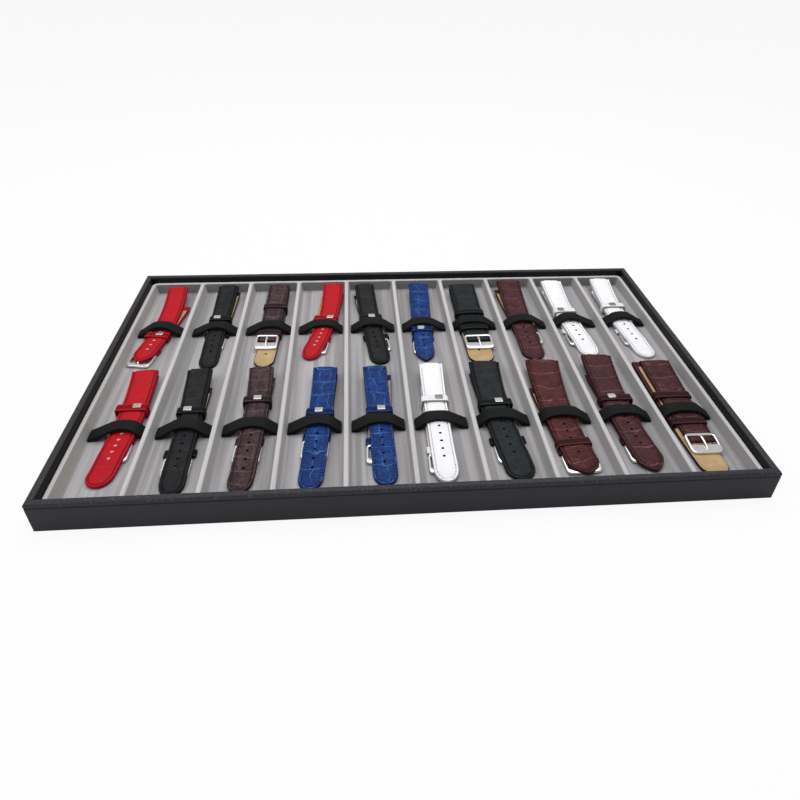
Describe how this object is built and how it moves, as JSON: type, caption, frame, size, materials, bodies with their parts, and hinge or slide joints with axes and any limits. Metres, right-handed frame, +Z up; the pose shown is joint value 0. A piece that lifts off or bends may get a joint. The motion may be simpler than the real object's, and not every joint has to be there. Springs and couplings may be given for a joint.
{
  "type": "watch display tray",
  "caption": "Low leatherette tray with a grey flocked liner whose long channels hold watch straps under black foam bridges.",
  "frame": {"origin": "middle of the tray's underside", "axes": "+X along the tray's long side to the right, +Y to the back of the tray, +Z up"},
  "size_m": [0.42, 0.277, 0.0203],
  "materials": {
    "leatherette": "fine-grained leatherette, satin",
    "base_board": "hardboard with black paper, matt",
    "flock": "grey flock, matt",
    "foam": "black foam, matt",
    "leather_red": "fine-grained calf leather, satin",
    "leather_black": "grained calf leather, satin",
    "leather_dark_brown": "crocodile-embossed leather, satin",
    "leather_blue": "crocodile-embossed leather, satin",
    "leather_green_black": "crocodile-embossed leather, matt",
    "leather_burgundy": "crocodile-embossed leather, gloss",
    "leather_chestnut": "crocodile-embossed leather, gloss",
    "leather_white": "smooth stitched leather, satin",
    "lining": "tan lining leather, matt",
    "buckle_steel": "polished"
  },
  "bodies": {
    "root": {"rail_front": "leatherette", "rail_back": "leatherette", "rail_left": "leatherette", "rail_right": "leatherette", "base_board": "base_board", "liner": "flock", "strap_back_01": "leather_red", "strap_back_02": "leather_black", "strap_back_03": "leather_dark_brown", "strap_back_04": "leather_red", "strap_back_05": "leather_black", "strap_back_06": "leather_blue", "strap_back_07": "leather_green_black", "strap_back_08": "leather_burgundy", "strap_back_09": "leather_white", "strap_back_10": "leather_white", "bridge_back_01": "foam", "bridge_back_02": "foam", "bridge_back_03": "foam", "bridge_back_04": "foam", "bridge_back_05": "foam", "bridge_back_06": "foam", "bridge_back_07": "foam", "bridge_back_08": "foam", "bridge_back_09": "foam", "bridge_back_10": "foam", "strap_front_01": "leather_red", "strap_front_02": "leather_black", "strap_front_03": "leather_dark_brown", "strap_front_04": "leather_blue", "strap_front_05": "leather_blue", "strap_front_06": "leather_white", "strap_front_07": "leather_green_black", "strap_front_08": "leather_chestnut", "strap_front_09": "leather_burgundy", "strap_front_10": "leather_burgundy", "bridge_front_01": "foam", "bridge_front_02": "foam", "bridge_front_03": "foam", "bridge_front_04": "foam", "bridge_front_05": "foam", "bridge_front_06": "foam", "bridge_front_07": "foam", "bridge_front_08": "foam", "bridge_front_09": "foam", "bridge_front_10": "foam"}
  },
  "joints": []
}
